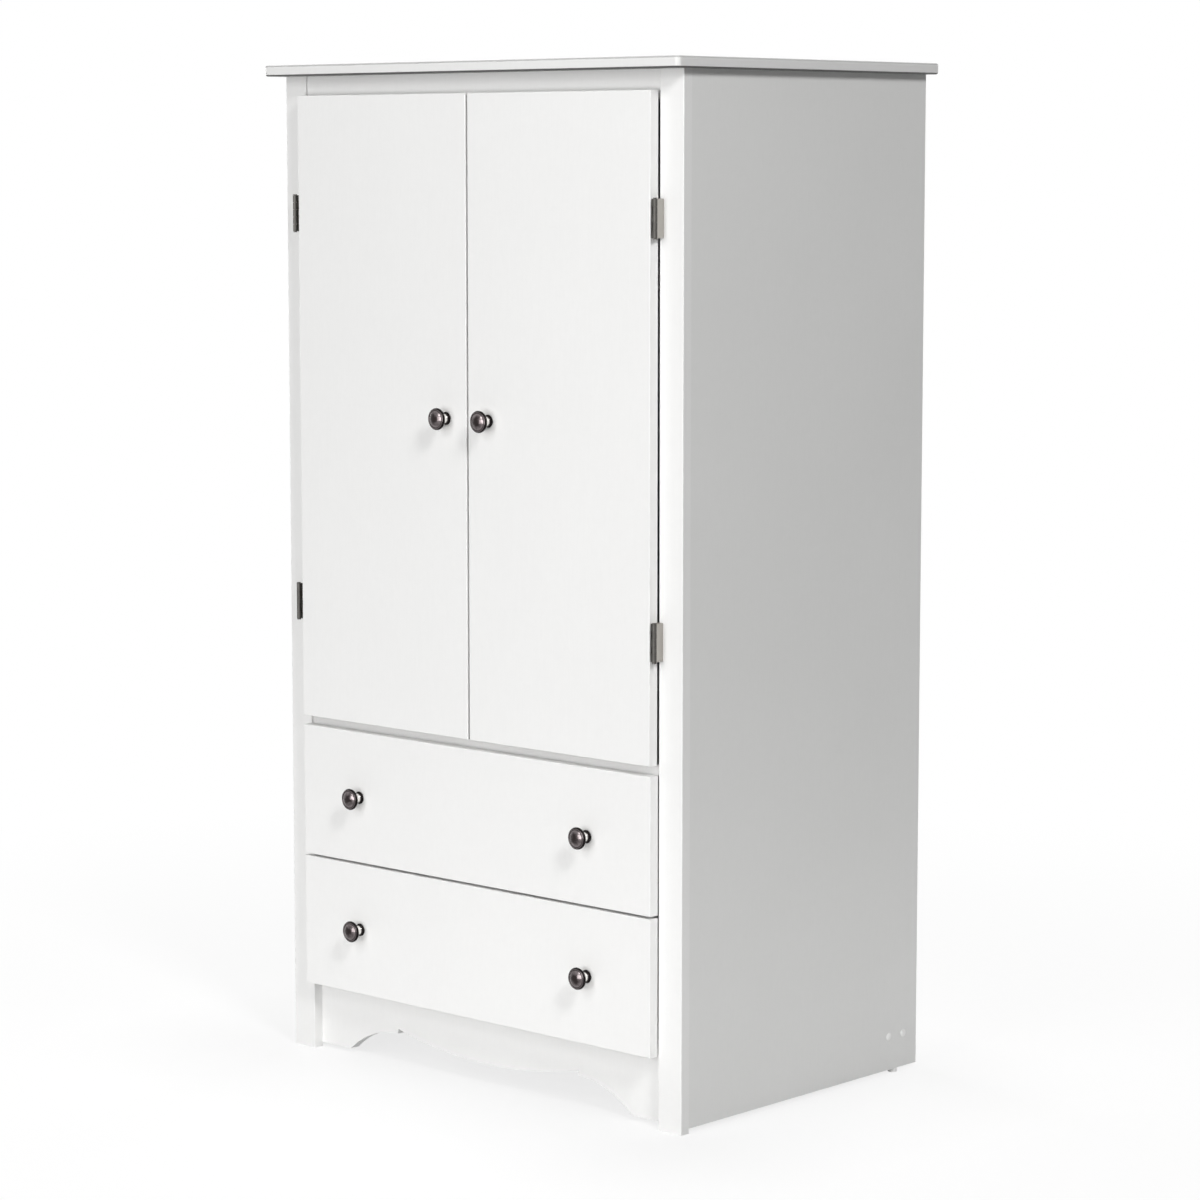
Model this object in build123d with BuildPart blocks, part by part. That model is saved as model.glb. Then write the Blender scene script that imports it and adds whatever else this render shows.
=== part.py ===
from build123d import *
import os

os.makedirs("parts", exist_ok=True)

# Overall sizes, in millimetres
overall_height = 1480.0
carcass_width = 786.0
carcass_depth = 528.0

# Board and sheet thicknesses
side_thickness = 16.0
stile_thickness = 16.0
rail_thickness = 16.0
shelf_thickness = 16.0
top_thickness = 16.0
door_thickness = 16.0
drawer_front_thickness = 16.0
drawer_side_thickness = 12.0
back_thickness = 3.0
drawer_bottom_thickness = 3.0

# Top panel: overhangs past the carcass, plan corners and edge rounding
top_side_overhang = 16.5
top_front_overhang = 30.0
top_rear_overhang = 7.0
top_corner_radius = 7.0
top_edge_radius = 4.0

# Front frame
stile_width = 43.0
foot_lift = 7.0
rail_recess = 4.0
top_reveal = 28.5
top_rail_lap = 12.0
edge_round = 1.2

# Base rail: scalloped lower edge, heights measured from the floor
base_height = 105.0
base_rail_lap = 12.0
lobe_half_length = 184.0
lobe_low_z = 31.5
lobe_end_z = 53.5
cove_z = 46.5
cove_end_x = 287.0

# Doors and drawer fronts
door_side_gap = 1.4
drawer_side_gap = 0.8
centre_gap = 3.6
door_standoff = 2.0
drawer_standoff = 0.6
drawer_front_height = 196.0
drawer_gap = 3.5
shelf_reveal = 14.0

# Back sheets and rear stretcher
back_rabbet = 8.0
back_play = 0.5
back_seam = 1.0
stretcher_depth = 85.0
stretcher_z = 49.0

# Adjustable shelf, its pins and the hanging rod
shelf_play = 1.0
adjustable_shelf_drop = 238.0
adjustable_shelf_setback = 24.0
adjustable_shelf_rear_gap = 8.0
pin_radius = 2.5
pin_depth = 8.0
pin_reach = 9.0
pin_width = 8.0
pin_thickness = 3.0
pin_row_inset = 60.0
pin_pitch = 32.0
pin_steps = 4
rod_radius = 12.5
rod_wall = 1.2
rod_drop = 62.0
rod_end_gap = 0.5
socket_radius = 23.0
socket_flange = 3.0
socket_cup_radius = 15.5
socket_cup_depth = 14.0
socket_play = 0.15
socket_screw_offset = 19.0

# Fasteners
hole_play = 0.05
hole_end_gap = 0.6
screw_radius = 1.6
screw_length = 10.0
screw_head_radius = 3.2
screw_head_height = 1.4
screw_slot_width = 0.9
screw_slot_depth = 0.7
dowel_radius = 3.0
dowel_length = 28.0
dowel_in_stile = 10.0
dowel_in_side = 11.0
dowel_chamfer = 0.8
stile_dowel_inset = 120.0
cam_radius = 7.5
cam_depth = 12.5
cam_inset = 34.0
cam_row_inset = 120.0
cam_slot = 7.4
cam_cross_length = 8.0
cam_cross_width = 1.6
cam_cross_depth = 2.0
bolt_radius = 3.0
bolt_head_radius = 3.5
bolt_head_length = 4.0
bolt_thread = 10.0
bolt_bore = 3.8
nail_radius = 0.8
nail_length = 18.0
nail_head_radius = 2.6
nail_head_height = 0.7
connector_neck_radius = 3.5
connector_head_radius = 5.0
connector_thread_radius = 2.5
connector_length = 50.0
connector_socket_radius = 2.0
connector_socket_depth = 3.0
connector_first_y = 463.0
connector_pitch = 34.0
connector_count = 2
connector_head_angle = 90.0
cap_radius = 6.0
cap_height = 1.6
cap_edge = 0.8
cap_peg_length = 2.5
glide_radius = 7.0
glide_edge = 1.5
glide_nail_radius = 1.3
glide_nail_length = 14.0
glide_inset = 46.0

# Knobs
knob_projection = 26.0
knob_base_radius = 9.6
knob_base_height = 1.8
knob_base_step = 1.0
knob_neck_radius = 5.2
knob_neck_height = 8.8
knob_flare_radius = 13.6
knob_flare_height = 17.2
knob_rim_radius = 16.0
knob_rim_height = 19.9
knob_face_radius = 13.2
knob_face_height = 22.5
knob_thread_depth = 9.0
knob_screw_radius = 2.0
knob_screw_head_radius = 4.0
knob_screw_head_height = 2.2
door_knob_x = 42.0
drawer_knob_x = 230.0

# Wrap hinges
hinge_height = 53.0
hinge_inset = 172.0
hinge_leaf = 1.2
hinge_barrel_radius = 3.2
hinge_reach = 8.3
hinge_set_back = 0.7
hinge_pin_radius = 1.8
hinge_pin_fit = 0.05
hinge_pin_head_radius = 3.0
hinge_pin_head_height = 1.0
hinge_air = 0.4
hinge_knuckles = 5
hinge_door_plate = 24.0
hinge_frame_plate = 13.0
hinge_screw_pitch = 34.0

# Magnetic catches and strike plates
catch_x = 28.0
catch_width = 34.0
catch_height = 12.0
catch_block = 12.0
catch_foot = 12.0
catch_foot_height = 3.0
catch_air = 0.5
catch_screw_pitch = 20.0
magnet_width = 24.0
magnet_height = 6.0
magnet_depth = 8.0
strike_width = 26.0
strike_height = 25.0
strike_thickness = 1.2
strike_lift = 2.0
strike_screw_drop = 6.0

# Drawer boxes
drawer_drop = 20.0
drawer_box_height = 140.0
drawer_box_depth = 448.0
drawer_bottom_lift = 15.5
drawer_groove = 5.0
drawer_play = 0.2
drawer_back_inset = 8.0

# Roller slides and the cleats that carry them
slide_thickness = 12.7
slide_steel = 1.2
slide_length = 450.0
slide_setback = 2.0
slide_end_gap = 4.0
channel_reach = 10.5
drawer_flange_reach = 10.2
drawer_foot_reach = 10.0
channel_air = 0.8
roller_radius = 10.0
roller_width = 6.2
roller_edge = 0.8
roller_gap = 0.4
roller_inset = 16.0
roller_end_gap = 0.2
axle_radius = 3.0
axle_fit = 0.05
axle_boss_radius = 4.5
axle_boss_height = 0.8
slide_screw_inset = 70.0
slide_screw_count = 3
cleat_drop = 6.0
cleat_cover = 11.8
cleat_screw_inset = 60.0
cleat_screw_bite = 9.0

# Planes and levels that the pieces share
half_width = carcass_width / 2
inner_x = half_width - side_thickness
opening_x = half_width - stile_width
side_mid_x = half_width - side_thickness / 2
door_reach = door_standoff + door_thickness + knob_projection
drawer_reach = drawer_standoff + drawer_front_thickness + knob_projection
front_reach = max(door_reach, drawer_reach, top_front_overhang)
overall_depth = front_reach + carcass_depth + top_rear_overhang
front_y = front_reach - overall_depth / 2
stile_back_y = front_y + stile_thickness
rail_face_y = front_y + rail_recess
rear_y = front_y + carcass_depth
back_y = rear_y - back_thickness
door_back_y = front_y - door_standoff
door_face_y = door_back_y - door_thickness
drawer_back_y = front_y - drawer_standoff
drawer_face_y = drawer_back_y - drawer_front_thickness
drawer_rear_y = drawer_back_y + drawer_box_depth

top_z = overall_height - top_thickness
upper_front_z = base_height + drawer_front_height + drawer_gap
door_z = upper_front_z + drawer_front_height + shelf_reveal
door_top_z = top_z - top_reveal
shelf_z = door_z - (shelf_reveal + shelf_thickness) / 2
shelf_top_z = shelf_z + shelf_thickness
shelf_mid_z = shelf_z + shelf_thickness / 2
base_rail_top_z = base_height + base_rail_lap
stretcher_mid_z = stretcher_z + shelf_thickness / 2

door_outer_x = opening_x - door_side_gap
drawer_outer_x = opening_x - drawer_side_gap
door_inner_x = centre_gap / 2
door_knob_z = (door_z + door_top_z) / 2
hinge_x = door_outer_x + hinge_reach
hinge_y = door_face_y + hinge_set_back
hinge_levels = [door_z + hinge_inset, door_top_z - hinge_inset]

adjustable_shelf_z = top_z - adjustable_shelf_drop
rod_y = (stile_back_y + back_y) / 2
rod_z = adjustable_shelf_z - rod_drop
rod_inner_radius = rod_radius - rod_wall
pin_z = adjustable_shelf_z - pin_radius
pin_columns = [stile_back_y + pin_row_inset, back_y - pin_row_inset]

long_screw_length = inner_x - opening_x + cleat_screw_bite
box_x = opening_x - slide_thickness
box_inner_x = box_x - drawer_side_thickness
groove_x = box_inner_x + drawer_groove
slide_front_y = stile_back_y + slide_setback
slide_rear_y = slide_front_y + slide_length
slide_axle_y = slide_front_y + roller_inset
drawer_axle_y = drawer_rear_y - roller_inset
axle_rise = slide_steel + roller_gap + roller_radius
flange_rise = slide_steel + 2 * roller_gap + 2 * roller_radius
channel_height = flange_rise + slide_steel + channel_air + slide_steel
cleat_height = cleat_drop + channel_height + cleat_cover
cleat_screw_z = channel_height + cleat_cover / 2
drawer_levels = {"upper": upper_front_z, "lower": base_height}

# Directions that point out of a surface
TO_RIGHT = (1, 0, 0)
TO_LEFT = (-1, 0, 0)
TO_FRONT = (0, -1, 0)
TO_BACK = (0, 1, 0)
UPWARD = (0, 0, 1)
DOWNWARD = (0, 0, -1)

OUTWARD = (Align.CENTER, Align.CENTER, Align.MIN)
INWARD = (Align.CENTER, Align.CENTER, Align.MAX)


def block(x, y, z, mode=Mode.ADD):
    """Fills the spans x, y and z of the open part, or cuts them out of it."""
    with Locations(((x[0] + x[1]) / 2, (y[0] + y[1]) / 2, (z[0] + z[1]) / 2)):
        Box(x[1] - x[0], y[1] - y[0], z[1] - z[0], mode=mode)


def bore(places, radius, depth):
    """Cuts a round hole into the open part below each place."""
    with Locations(*places):
        Cylinder(radius, depth, align=INWARD, mode=Mode.SUBTRACT)


def copies(piece, places):
    """Adds a copy of a finished piece to the open part at each place."""
    with Locations(*places):
        add(piece.part)


def place(x, y, z, out, up=None):
    """A seat for a fastener: its local z axis points out of the surface, its x axis along up."""
    return Plane(origin=(x, y, z), x_dir=up, z_dir=out)


def spread(low, high, count):
    """Even steps from low to high, both ends included."""
    return [low + (high - low) * n / (count - 1) for n in range(count)]


def flip(vector):
    """The mirror image of a vector across the middle of the armoire."""
    return (-vector.X, vector.Y, vector.Z)


def both_sides(places):
    """The right-hand places and their mirror images on the left."""
    left = [Plane(origin=flip(p.origin), x_dir=flip(p.x_dir), z_dir=flip(p.z_dir)) for p in places]
    return places + left


def mirrored(piece):
    """The left-hand twin of a right-hand piece."""
    with BuildPart() as twin:
        add(piece.part)
        mirror(about=Plane.YZ, mode=Mode.REPLACE)
    return twin


def save(piece, name):
    """Labels a finished piece and writes it as its own file."""
    piece.part.label = name
    export_step(piece.part, f"parts/{name}.step")


# Fasteners that are used many times, each with its seat at the origin

def pan_screw(length):
    """A slotted pan-head wood screw of the given length below its head."""
    with BuildPart() as screw:
        Cylinder(screw_head_radius, screw_head_height, align=OUTWARD)
        fillet(screw.edges().sort_by(Axis.Z)[-1], screw_head_height / 2)
        with Locations((0, 0, screw_head_height)):
            Box(2 * screw_head_radius, screw_slot_width, 2 * screw_slot_depth, mode=Mode.SUBTRACT)
        Cylinder(screw_radius, length, align=INWARD)
    return screw


def knob_screw(panel_thickness):
    """The machine screw that holds a knob from behind its panel."""
    with BuildPart() as screw:
        Cylinder(knob_screw_head_radius, knob_screw_head_height, align=OUTWARD)
        fillet(screw.edges().sort_by(Axis.Z)[-1], knob_screw_head_height / 2)
        Cylinder(knob_screw_radius, panel_thickness + knob_thread_depth - hole_end_gap, align=INWARD)
    return screw


def cam_lock(board):
    """A cam in a board of the given thickness, open towards the bolt along x."""
    with BuildPart() as cam:
        Cylinder(cam_radius, cam_depth, align=INWARD)
        with Locations((cam_radius / 2, 0, -board / 2)):
            Box(cam_radius + cam_slot, cam_slot, cam_slot, mode=Mode.SUBTRACT)
        Box(cam_cross_length, cam_cross_width, 2 * cam_cross_depth, mode=Mode.SUBTRACT)
        Box(cam_cross_width, cam_cross_length, 2 * cam_cross_depth, mode=Mode.SUBTRACT)
    return cam


def cam_bolt(board):
    """The bolt that a cam draws in, along the middle of its board."""
    with BuildPart() as bolt:
        with Locations(Plane(origin=(0, 0, -board / 2), z_dir=TO_RIGHT)):
            Cylinder(bolt_head_radius, bolt_head_length, align=OUTWARD)
            Cylinder(bolt_radius, cam_inset + bolt_thread, align=OUTWARD)
    return bolt


short_screw = pan_screw(screw_length)
long_screw = pan_screw(long_screw_length)

with BuildPart() as dowel:
    Cylinder(dowel_radius, dowel_length, align=INWARD)
    chamfer(dowel.edges(), dowel_chamfer)

with BuildPart() as nail:
    Cylinder(nail_head_radius, nail_head_height, align=OUTWARD)
    fillet(nail.edges().sort_by(Axis.Z)[-1], nail_head_height / 2)
    Cylinder(nail_radius, nail_length, align=INWARD)

with BuildPart() as connector:
    cone_height = connector_head_radius - connector_neck_radius
    Cylinder(connector_neck_radius, side_thickness, align=INWARD)
    Cone(connector_neck_radius, connector_head_radius, cone_height, align=INWARD)
    Cylinder(connector_thread_radius, connector_length, align=INWARD)
    Cylinder(connector_socket_radius, connector_socket_depth, align=INWARD, mode=Mode.SUBTRACT)

with BuildPart() as cover_cap:
    Cylinder(cap_radius, cap_height, align=OUTWARD)
    chamfer(cover_cap.edges().sort_by(Axis.Z)[-1], cap_edge)
    Cylinder(connector_socket_radius - hole_play, cap_peg_length, align=INWARD)

with BuildPart() as glide:
    Cylinder(glide_radius, foot_lift, align=OUTWARD)
    fillet(glide.edges().sort_by(Axis.Z)[-1], glide_edge)
    Cylinder(glide_nail_radius, glide_nail_length, align=INWARD)

with BuildPart() as shelf_pin:
    Cylinder(pin_radius, pin_depth, align=INWARD)
    with Locations((pin_radius - pin_thickness / 2, 0, 0)):
        Box(pin_thickness, pin_width, pin_reach, align=OUTWARD)

with BuildPart() as knob:
    with BuildSketch(Plane.XZ):
        with BuildLine():
            base = Polyline(
                (0, 0),
                (knob_base_radius, 0),
                (knob_base_radius, knob_base_height),
                (knob_base_radius - knob_base_step, knob_base_height),
            )
            neck = ThreePointArc(
                base @ 1,
                (knob_neck_radius, knob_neck_height),
                (knob_flare_radius, knob_flare_height),
            )
            rim = ThreePointArc(
                neck @ 1,
                (knob_rim_radius, knob_rim_height),
                (knob_face_radius, knob_face_height),
            )
            TangentArc((0, knob_projection), rim @ 1, tangent=(1, 0))
            Line((0, knob_projection), (0, 0))
        make_face()
    revolve(axis=Axis.Z)
    Cylinder(knob_screw_radius + hole_play, knob_thread_depth, align=OUTWARD, mode=Mode.SUBTRACT)


# Places of the fasteners, shared by the pieces that they join; right-hand side only

stile_dowel_places = [
    place(side_mid_x, stile_back_y + dowel_length - dowel_in_stile, z, TO_BACK)
    for z in (base_height, shelf_mid_z - stile_dowel_inset, door_top_z - stile_dowel_inset)
]
top_rail_dowel_places = [
    place(opening_x + dowel_in_stile, (rail_face_y + stile_back_y) / 2, z, TO_RIGHT)
    for z in (top_z - top_reveal / 3, top_z - top_reveal)
]
base_rail_dowel_places = [
    place(inner_x + dowel_in_side, stile_back_y + rail_thickness / 2, z, TO_RIGHT)
    for z in (cove_z, base_height - dowel_radius)
]
cam_rows = [stile_back_y + cam_row_inset, back_y - cam_row_inset]
top_cam_places = [
    place(inner_x, y, top_z - cam_inset, TO_LEFT, UPWARD)
    for y in cam_rows
]
shelf_cam_places = [
    place(inner_x - cam_inset, y, shelf_z, DOWNWARD, TO_RIGHT)
    for y in cam_rows
]
connector_places = [
    place(half_width, front_y + connector_first_y + n * connector_pitch, stretcher_mid_z, TO_RIGHT)
    for n in range(connector_count)
]
glide_places = [place(side_mid_x, rear_y - glide_inset, foot_lift, DOWNWARD)]
shelf_pin_places = [place(inner_x, y, pin_z, TO_LEFT, UPWARD) for y in pin_columns]
pin_hole_places = [
    place(inner_x, y, pin_z + n * pin_pitch, TO_LEFT, UPWARD)
    for y in pin_columns
    for n in range(-pin_steps, pin_steps + 1)
]
socket_place = place(inner_x, rod_y, rod_z, TO_LEFT, UPWARD)
socket_screw_places = [
    place(inner_x - socket_flange, rod_y, rod_z + offset, TO_LEFT)
    for offset in (-socket_screw_offset, socket_screw_offset)
]
hinge_frame_screw_places = [
    place(opening_x - hinge_leaf, front_y + hinge_frame_plate / 2, level + offset, TO_LEFT)
    for level in hinge_levels
    for offset in (-hinge_screw_pitch / 2, hinge_screw_pitch / 2)
]
hinge_door_screw_places = [
    place(door_outer_x - hinge_door_plate / 2, door_back_y + hinge_leaf, level + offset, TO_BACK)
    for level in hinge_levels
    for offset in (-hinge_screw_pitch / 2, hinge_screw_pitch / 2)
]
strike_z = door_z + strike_lift
strike_screw_places = [
    place(catch_x, door_back_y + strike_thickness, strike_z + strike_height - strike_screw_drop, TO_BACK)
]
catch_front_y = door_back_y + strike_thickness + catch_air
catch_foot_y = catch_front_y + catch_block
catch_screw_places = [
    place(catch_x + offset, catch_foot_y + catch_foot / 2, shelf_top_z + catch_foot_height, UPWARD)
    for offset in (-catch_screw_pitch / 2, catch_screw_pitch / 2)
]
cabinet_slide_screw_places = [
    place(opening_x - slide_steel, y, z + drawer_drop + axle_rise, TO_LEFT)
    for z in drawer_levels.values()
    for y in spread(slide_axle_y + slide_screw_inset, slide_rear_y - slide_screw_inset, slide_screw_count)
]
cleat_screw_places = [
    place(opening_x, y, z + drawer_drop + cleat_screw_z, TO_LEFT)
    for z in drawer_levels.values()
    for y in (stile_back_y + cleat_screw_inset, back_y - cleat_screw_inset)
]

# Nails hold the back sheets to the side panels, the fixed shelf and the rear stretcher
nail_x = inner_x + back_rabbet / 2
nail_inset = 60.0
nail_count_upper = 6
nail_count_lower = 3
nail_columns = 4
nail_row_offset = 4.5

side_nail_places = [
    place(nail_x, rear_y, z, TO_BACK)
    for z in spread(shelf_mid_z + nail_inset, top_z - nail_inset, nail_count_upper)
    + spread(stretcher_z + nail_inset, shelf_mid_z - nail_inset, nail_count_lower)
]
nail_row_x = spread(nail_inset, inner_x - nail_inset, nail_columns // 2)
upper_row_places = [place(x, rear_y, shelf_mid_z + nail_row_offset, TO_BACK) for x in nail_row_x]
lower_row_places = [place(x, rear_y, shelf_mid_z - nail_row_offset, TO_BACK) for x in nail_row_x]
stretcher_row_places = [place(x, rear_y, stretcher_mid_z, TO_BACK) for x in nail_row_x]


# Carcass

with BuildPart() as right_side:
    block((inner_x, half_width), (stile_back_y, rear_y), (foot_lift, top_z))
    block((inner_x, inner_x + back_rabbet), (back_y, rear_y), (foot_lift, top_z), Mode.SUBTRACT)
    bore([p.offset(hole_end_gap) for p in stile_dowel_places], dowel_radius + hole_play, dowel_length)
    bore([p.offset(hole_end_gap) for p in base_rail_dowel_places], dowel_radius + hole_play, dowel_length)
    bore(top_cam_places, cam_radius + hole_play, cam_depth + hole_end_gap)
    bore([place(side_mid_x, y, top_z, UPWARD) for y in cam_rows], bolt_bore, cam_inset)
    shelf_bolt_places = [place(inner_x, y, shelf_mid_z, TO_LEFT) for y in cam_rows]
    bore(shelf_bolt_places, bolt_radius + hole_play, bolt_thread + hole_end_gap)
    bore(pin_hole_places, pin_radius + hole_play, pin_depth + hole_end_gap)
    bore(socket_screw_places, screw_radius + hole_play, screw_length + hole_end_gap)
    bore(cleat_screw_places, screw_radius + hole_play, long_screw_length + hole_end_gap)
    bore(glide_places, glide_nail_radius + hole_play, glide_nail_length + hole_end_gap)
    bore(side_nail_places, nail_radius + hole_play, nail_length + hole_end_gap)
    with Locations(*connector_places):
        CounterSinkHole(
            connector_neck_radius + hole_play,
            connector_head_radius + hole_play,
            side_thickness,
            counter_sink_angle=connector_head_angle,
        )
save(right_side, "right_side_panel")
save(mirrored(right_side), "left_side_panel")

with BuildPart() as right_stile:
    block((opening_x, half_width), (front_y, stile_back_y), (0, top_z))
    fillet(right_stile.faces().sort_by(Axis.Y)[0].edges().filter_by(Axis.Z), edge_round)
    bore([p.offset(hole_end_gap) for p in top_rail_dowel_places], dowel_radius + hole_play, dowel_length)
    bore(stile_dowel_places, dowel_radius + hole_play, dowel_length + hole_end_gap)
    bore(hinge_frame_screw_places, screw_radius + hole_play, screw_length + hole_end_gap)
save(right_stile, "right_stile")
save(mirrored(right_stile), "left_stile")

with BuildPart() as top_panel:
    top_y = (front_y - top_front_overhang, rear_y + top_rear_overhang)
    with BuildSketch(Plane.XY.offset(top_z)) as top_plan:
        with Locations((0, (top_y[0] + top_y[1]) / 2)):
            Rectangle(carcass_width + 2 * top_side_overhang, top_y[1] - top_y[0])
        fillet(top_plan.vertices().group_by(Axis.Y)[0], top_corner_radius)
    extrude(amount=top_thickness)
    rims = top_panel.faces().sort_by(Axis.Z)[-1].edges() + top_panel.faces().sort_by(Axis.Z)[0].edges()
    fillet(rims.sort_by(Axis.Y)[:-2], top_edge_radius)
    top_bolt_places = [place(side_mid_x, y, top_z, DOWNWARD) for y in cam_rows]
    bore(both_sides(top_bolt_places), bolt_radius + hole_play, bolt_thread + hole_end_gap)
save(top_panel, "top_panel")

with BuildPart() as top_rail:
    top_rail_y = (rail_face_y, rail_face_y + rail_thickness)
    block((-opening_x, opening_x), top_rail_y, (door_top_z - top_rail_lap, top_z))
    bore(both_sides(top_rail_dowel_places), dowel_radius + hole_play, dowel_length + hole_end_gap)
save(top_rail, "top_rail")

with BuildPart() as base_rail:
    with BuildSketch(Plane.XZ.offset(-stile_back_y)):
        with BuildLine():
            ThreePointArc((-lobe_half_length, lobe_end_z), (0, lobe_low_z), (lobe_half_length, lobe_end_z))
            Line((lobe_half_length, lobe_end_z), (lobe_half_length, cove_z))
            TangentArc((lobe_half_length, cove_z), (cove_end_x, foot_lift), tangent=(1, 0))
            Polyline(
                (cove_end_x, foot_lift),
                (inner_x, foot_lift),
                (inner_x, base_rail_top_z),
                (-inner_x, base_rail_top_z),
                (-inner_x, foot_lift),
                (-cove_end_x, foot_lift),
            )
            TangentArc((-lobe_half_length, cove_z), (-cove_end_x, foot_lift), tangent=(-1, 0))
            Line((-lobe_half_length, cove_z), (-lobe_half_length, lobe_end_z))
        make_face()
    extrude(amount=-rail_thickness)
    bore(both_sides(base_rail_dowel_places), dowel_radius + hole_play, dowel_length + hole_end_gap)
save(base_rail, "base_rail")

with BuildPart() as fixed_shelf:
    block((-inner_x, inner_x), (stile_back_y, back_y), (shelf_z, shelf_top_z))
    block((-opening_x, opening_x), (rail_face_y, stile_back_y), (shelf_z, shelf_top_z))
    bore(both_sides(shelf_cam_places), cam_radius + hole_play, cam_depth + hole_end_gap)
    bore(both_sides([place(inner_x, y, shelf_mid_z, TO_RIGHT) for y in cam_rows]), bolt_bore, cam_inset)
    bore(both_sides(catch_screw_places), screw_radius + hole_play, screw_length + hole_end_gap)
    bore(both_sides(upper_row_places + lower_row_places), nail_radius + hole_play, nail_length + hole_end_gap)
save(fixed_shelf, "fixed_shelf")

with BuildPart() as rear_stretcher:
    stretcher_y = (back_y - stretcher_depth, back_y)
    block((-inner_x, inner_x), stretcher_y, (stretcher_z, stretcher_z + shelf_thickness))
    bore(both_sides(connector_places), connector_thread_radius + hole_play, connector_length + hole_end_gap)
    bore(both_sides(stretcher_row_places), nail_radius + hole_play, nail_length + hole_end_gap)
save(rear_stretcher, "rear_stretcher")

back_half_width = inner_x + back_rabbet - back_play
upper_side_nails = [p for p in side_nail_places if p.origin.Z > shelf_mid_z]
lower_side_nails = [p for p in side_nail_places if p.origin.Z < shelf_mid_z]

with BuildPart() as upper_back:
    upper_back_z = (shelf_mid_z + back_seam / 2, top_z - back_play)
    block((-back_half_width, back_half_width), (back_y, rear_y), upper_back_z)
    bore(both_sides(upper_side_nails + upper_row_places), nail_radius + hole_play, nail_length)
save(upper_back, "upper_back_panel")

with BuildPart() as lower_back:
    lower_back_z = (stretcher_z, shelf_mid_z - back_seam / 2)
    block((-back_half_width, back_half_width), (back_y, rear_y), lower_back_z)
    lower_nails = lower_side_nails + lower_row_places + stretcher_row_places
    bore(both_sides(lower_nails), nail_radius + hole_play, nail_length)
save(lower_back, "lower_back_panel")

with BuildPart() as right_cleats:
    for level in drawer_levels.values():
        cleat_z = level + drawer_drop - cleat_drop
        block((opening_x, inner_x), (stile_back_y, back_y), (cleat_z, cleat_z + cleat_height))
    bore(cleat_screw_places, screw_radius + hole_play, long_screw_length)
    bore(cabinet_slide_screw_places, screw_radius + hole_play, screw_length + hole_end_gap)
save(right_cleats, "right_slide_cleats")
save(mirrored(right_cleats), "left_slide_cleats")

# Inside of the wardrobe

with BuildPart() as adjustable_shelf:
    shelf_span_y = (stile_back_y + adjustable_shelf_setback, back_y - adjustable_shelf_rear_gap)
    shelf_span_z = (adjustable_shelf_z, adjustable_shelf_z + shelf_thickness)
    block((shelf_play - inner_x, inner_x - shelf_play), shelf_span_y, shelf_span_z)
save(adjustable_shelf, "adjustable_shelf")

with BuildPart() as shelf_pins:
    copies(shelf_pin, both_sides(shelf_pin_places))
save(shelf_pins, "shelf_pins")

with BuildPart() as hanging_rod:
    rod_half_length = inner_x - socket_flange - rod_end_gap
    with Locations(Plane(origin=(0, rod_y, rod_z), z_dir=TO_RIGHT)):
        Cylinder(rod_radius, 2 * rod_half_length)
        Cylinder(rod_inner_radius, 2 * rod_half_length, mode=Mode.SUBTRACT)
save(hanging_rod, "hanging_rod")

with BuildPart() as rod_sockets:
    with Locations(socket_place):
        Cylinder(socket_radius, socket_flange, align=OUTWARD)
        Cylinder(socket_cup_radius, socket_cup_depth, align=OUTWARD)
    with Locations(socket_place.offset(socket_flange)):
        Cylinder(rod_radius + socket_play, socket_cup_depth, align=OUTWARD, mode=Mode.SUBTRACT)
    bore(socket_screw_places, screw_radius + hole_play, screw_length)
    mirror(about=Plane.YZ)
save(rod_sockets, "rod_sockets")

# Carcass fasteners

with BuildPart() as cam_locks:
    copies(cam_lock(side_thickness), both_sides(top_cam_places))
    copies(cam_lock(shelf_thickness), both_sides(shelf_cam_places))
save(cam_locks, "cam_locks")

with BuildPart() as cam_bolts:
    copies(cam_bolt(side_thickness), both_sides(top_cam_places))
    copies(cam_bolt(shelf_thickness), both_sides(shelf_cam_places))
save(cam_bolts, "cam_bolts")

with BuildPart() as frame_dowels:
    copies(dowel, both_sides(stile_dowel_places + top_rail_dowel_places + base_rail_dowel_places))
save(frame_dowels, "frame_dowels")

with BuildPart() as stretcher_screws:
    copies(connector, both_sides(connector_places))
save(stretcher_screws, "stretcher_screws")

with BuildPart() as side_cover_caps:
    copies(cover_cap, both_sides(connector_places))
save(side_cover_caps, "side_cover_caps")

with BuildPart() as rear_glides:
    copies(glide, both_sides(glide_places))
save(rear_glides, "rear_glides")

with BuildPart() as back_nails:
    copies(nail, both_sides(side_nail_places + upper_row_places + lower_row_places + stretcher_row_places))
save(back_nails, "back_nails")

with BuildPart() as cabinet_screws:
    copies(short_screw, both_sides(hinge_frame_screw_places + socket_screw_places))
    copies(short_screw, both_sides(catch_screw_places + cabinet_slide_screw_places))
    copies(long_screw, both_sides(cleat_screw_places))
save(cabinet_screws, "cabinet_screws")

# Hinges: the barrel stands beside the door's face. The door leaf wraps the door's edge and back, and the frame
# leaf runs from the barrel back to the stile and round its inner edge. The knuckles are counted from the bottom,
# odd ones on the door leaf and even ones on the frame leaf.

door_leaf_x = (door_outer_x, door_outer_x + hinge_leaf)
door_leaf_y = (door_back_y, door_back_y + hinge_leaf)
door_arm_y = (hinge_y + hinge_barrel_radius - hinge_leaf, hinge_y + hinge_barrel_radius)
frame_plate_x = (opening_x - hinge_leaf, opening_x)
frame_strip_y = (front_y - hinge_leaf, front_y)
frame_wall_x = (hinge_x - hinge_leaf / 2, hinge_x + hinge_leaf / 2)
knuckle_pitch = (hinge_height + hinge_air) / hinge_knuckles
knuckle_height = knuckle_pitch - hinge_air
knuckle_bores = [place(hinge_x, hinge_y, level + hinge_height / 2, UPWARD) for level in hinge_levels]


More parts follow.
